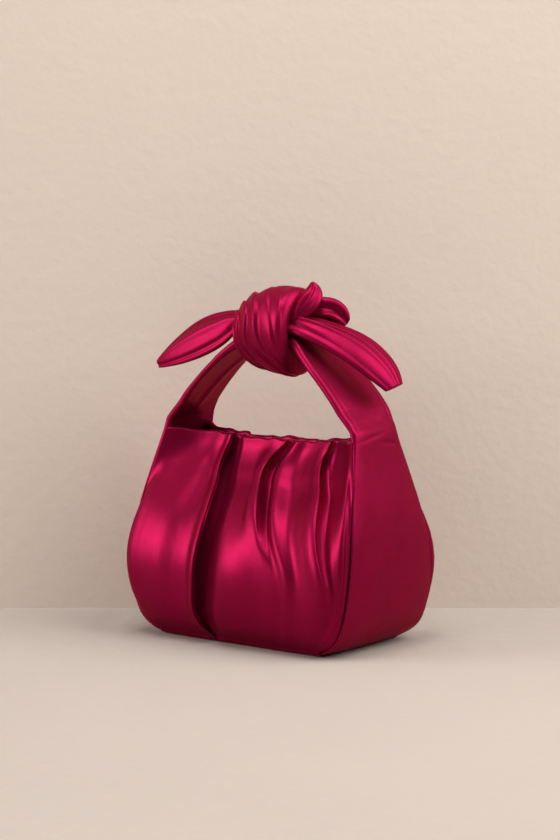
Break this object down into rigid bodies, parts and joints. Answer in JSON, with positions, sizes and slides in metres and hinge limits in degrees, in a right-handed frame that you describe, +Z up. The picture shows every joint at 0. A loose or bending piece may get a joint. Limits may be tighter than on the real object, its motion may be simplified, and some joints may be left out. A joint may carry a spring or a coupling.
{
  "type": "hobo bag",
  "caption": "Small gathered satin bag with wide tapered side gussets that run up into a knotted top handle with two pointed tails.",
  "frame": {"origin": "Middle of the flat underside of the base, on the surface the bag stands on.", "axes": "+Z up through the knot; +X along the bag's length, to the right when looking at its front; -Y is the front, the gathered side with the front wrap of the knot."},
  "size_m": [0.1882, 0.1212, 0.227],
  "materials": {
    "satin": "berry satin, soft sheen",
    "satin_facing": "berry satin facing round the mouth",
    "lining": "plain woven lining, matt",
    "foam": "off-white foam padding",
    "board": "stiff base board",
    "snap": "nickel-plated magnetic snap"
  },
  "bodies": {
    "body": {"gusset_left": "satin", "gusset_right": "satin", "base_panel": "satin", "gusset_foam_left": "foam", "gusset_foam_right": "foam", "gusset_lining_left": "lining", "gusset_lining_right": "lining", "base_board": "board", "base_lining": "lining"},
    "front_mouth": {"front_panel": "satin", "front_foam": "foam", "front_lining": "lining", "front_facing": "satin_facing", "snap_socket": "snap", "snap_washer_front": "snap"},
    "back_mouth": {"back_panel": "satin", "back_foam": "foam", "back_lining": "lining", "back_facing": "satin_facing", "snap_stud": "snap", "snap_washer_back": "snap", "slip_pocket": "lining"},
    "handle": {"strap_left": "satin", "strap_right": "satin", "knot_wrap": "satin", "knot_loop": "satin"},
    "tail_left": {"tail_left": "satin"},
    "tail_right": {"tail_right": "satin"}
  },
  "joints": [
    {"name": "front_opens", "type": "hinge", "parent": "body", "child": "front_mouth", "pos_m": [0, -0.0422, 0.0043], "axis": [1, 0, 0], "range_deg": [0, 6], "stiffness_Nm_per_rad": 0.06, "springref_deg": -14.32},
    {"name": "back_opens", "type": "hinge", "parent": "body", "child": "back_mouth", "pos_m": [0, 0.0422, 0.0043], "axis": [-1, 0, 0], "range_deg": [0, 6], "stiffness_Nm_per_rad": 0.06, "springref_deg": -14.32},
    {"name": "handle_folds", "type": "hinge", "parent": "body", "child": "handle", "pos_m": [0, 0, 0.142], "axis": [1, 0, 0], "range_deg": [-20, 20]},
    {"name": "tail_left_lifts", "type": "hinge", "parent": "handle", "child": "tail_left", "pos_m": [-0.036, -0.003, 0.198], "axis": [0, 1, 0], "range_deg": [0, 30]},
    {"name": "tail_right_lifts", "type": "hinge", "parent": "handle", "child": "tail_right", "pos_m": [0.021, -0.008, 0.201], "axis": [0, -1, 0], "range_deg": [0, 30]}
  ]
}
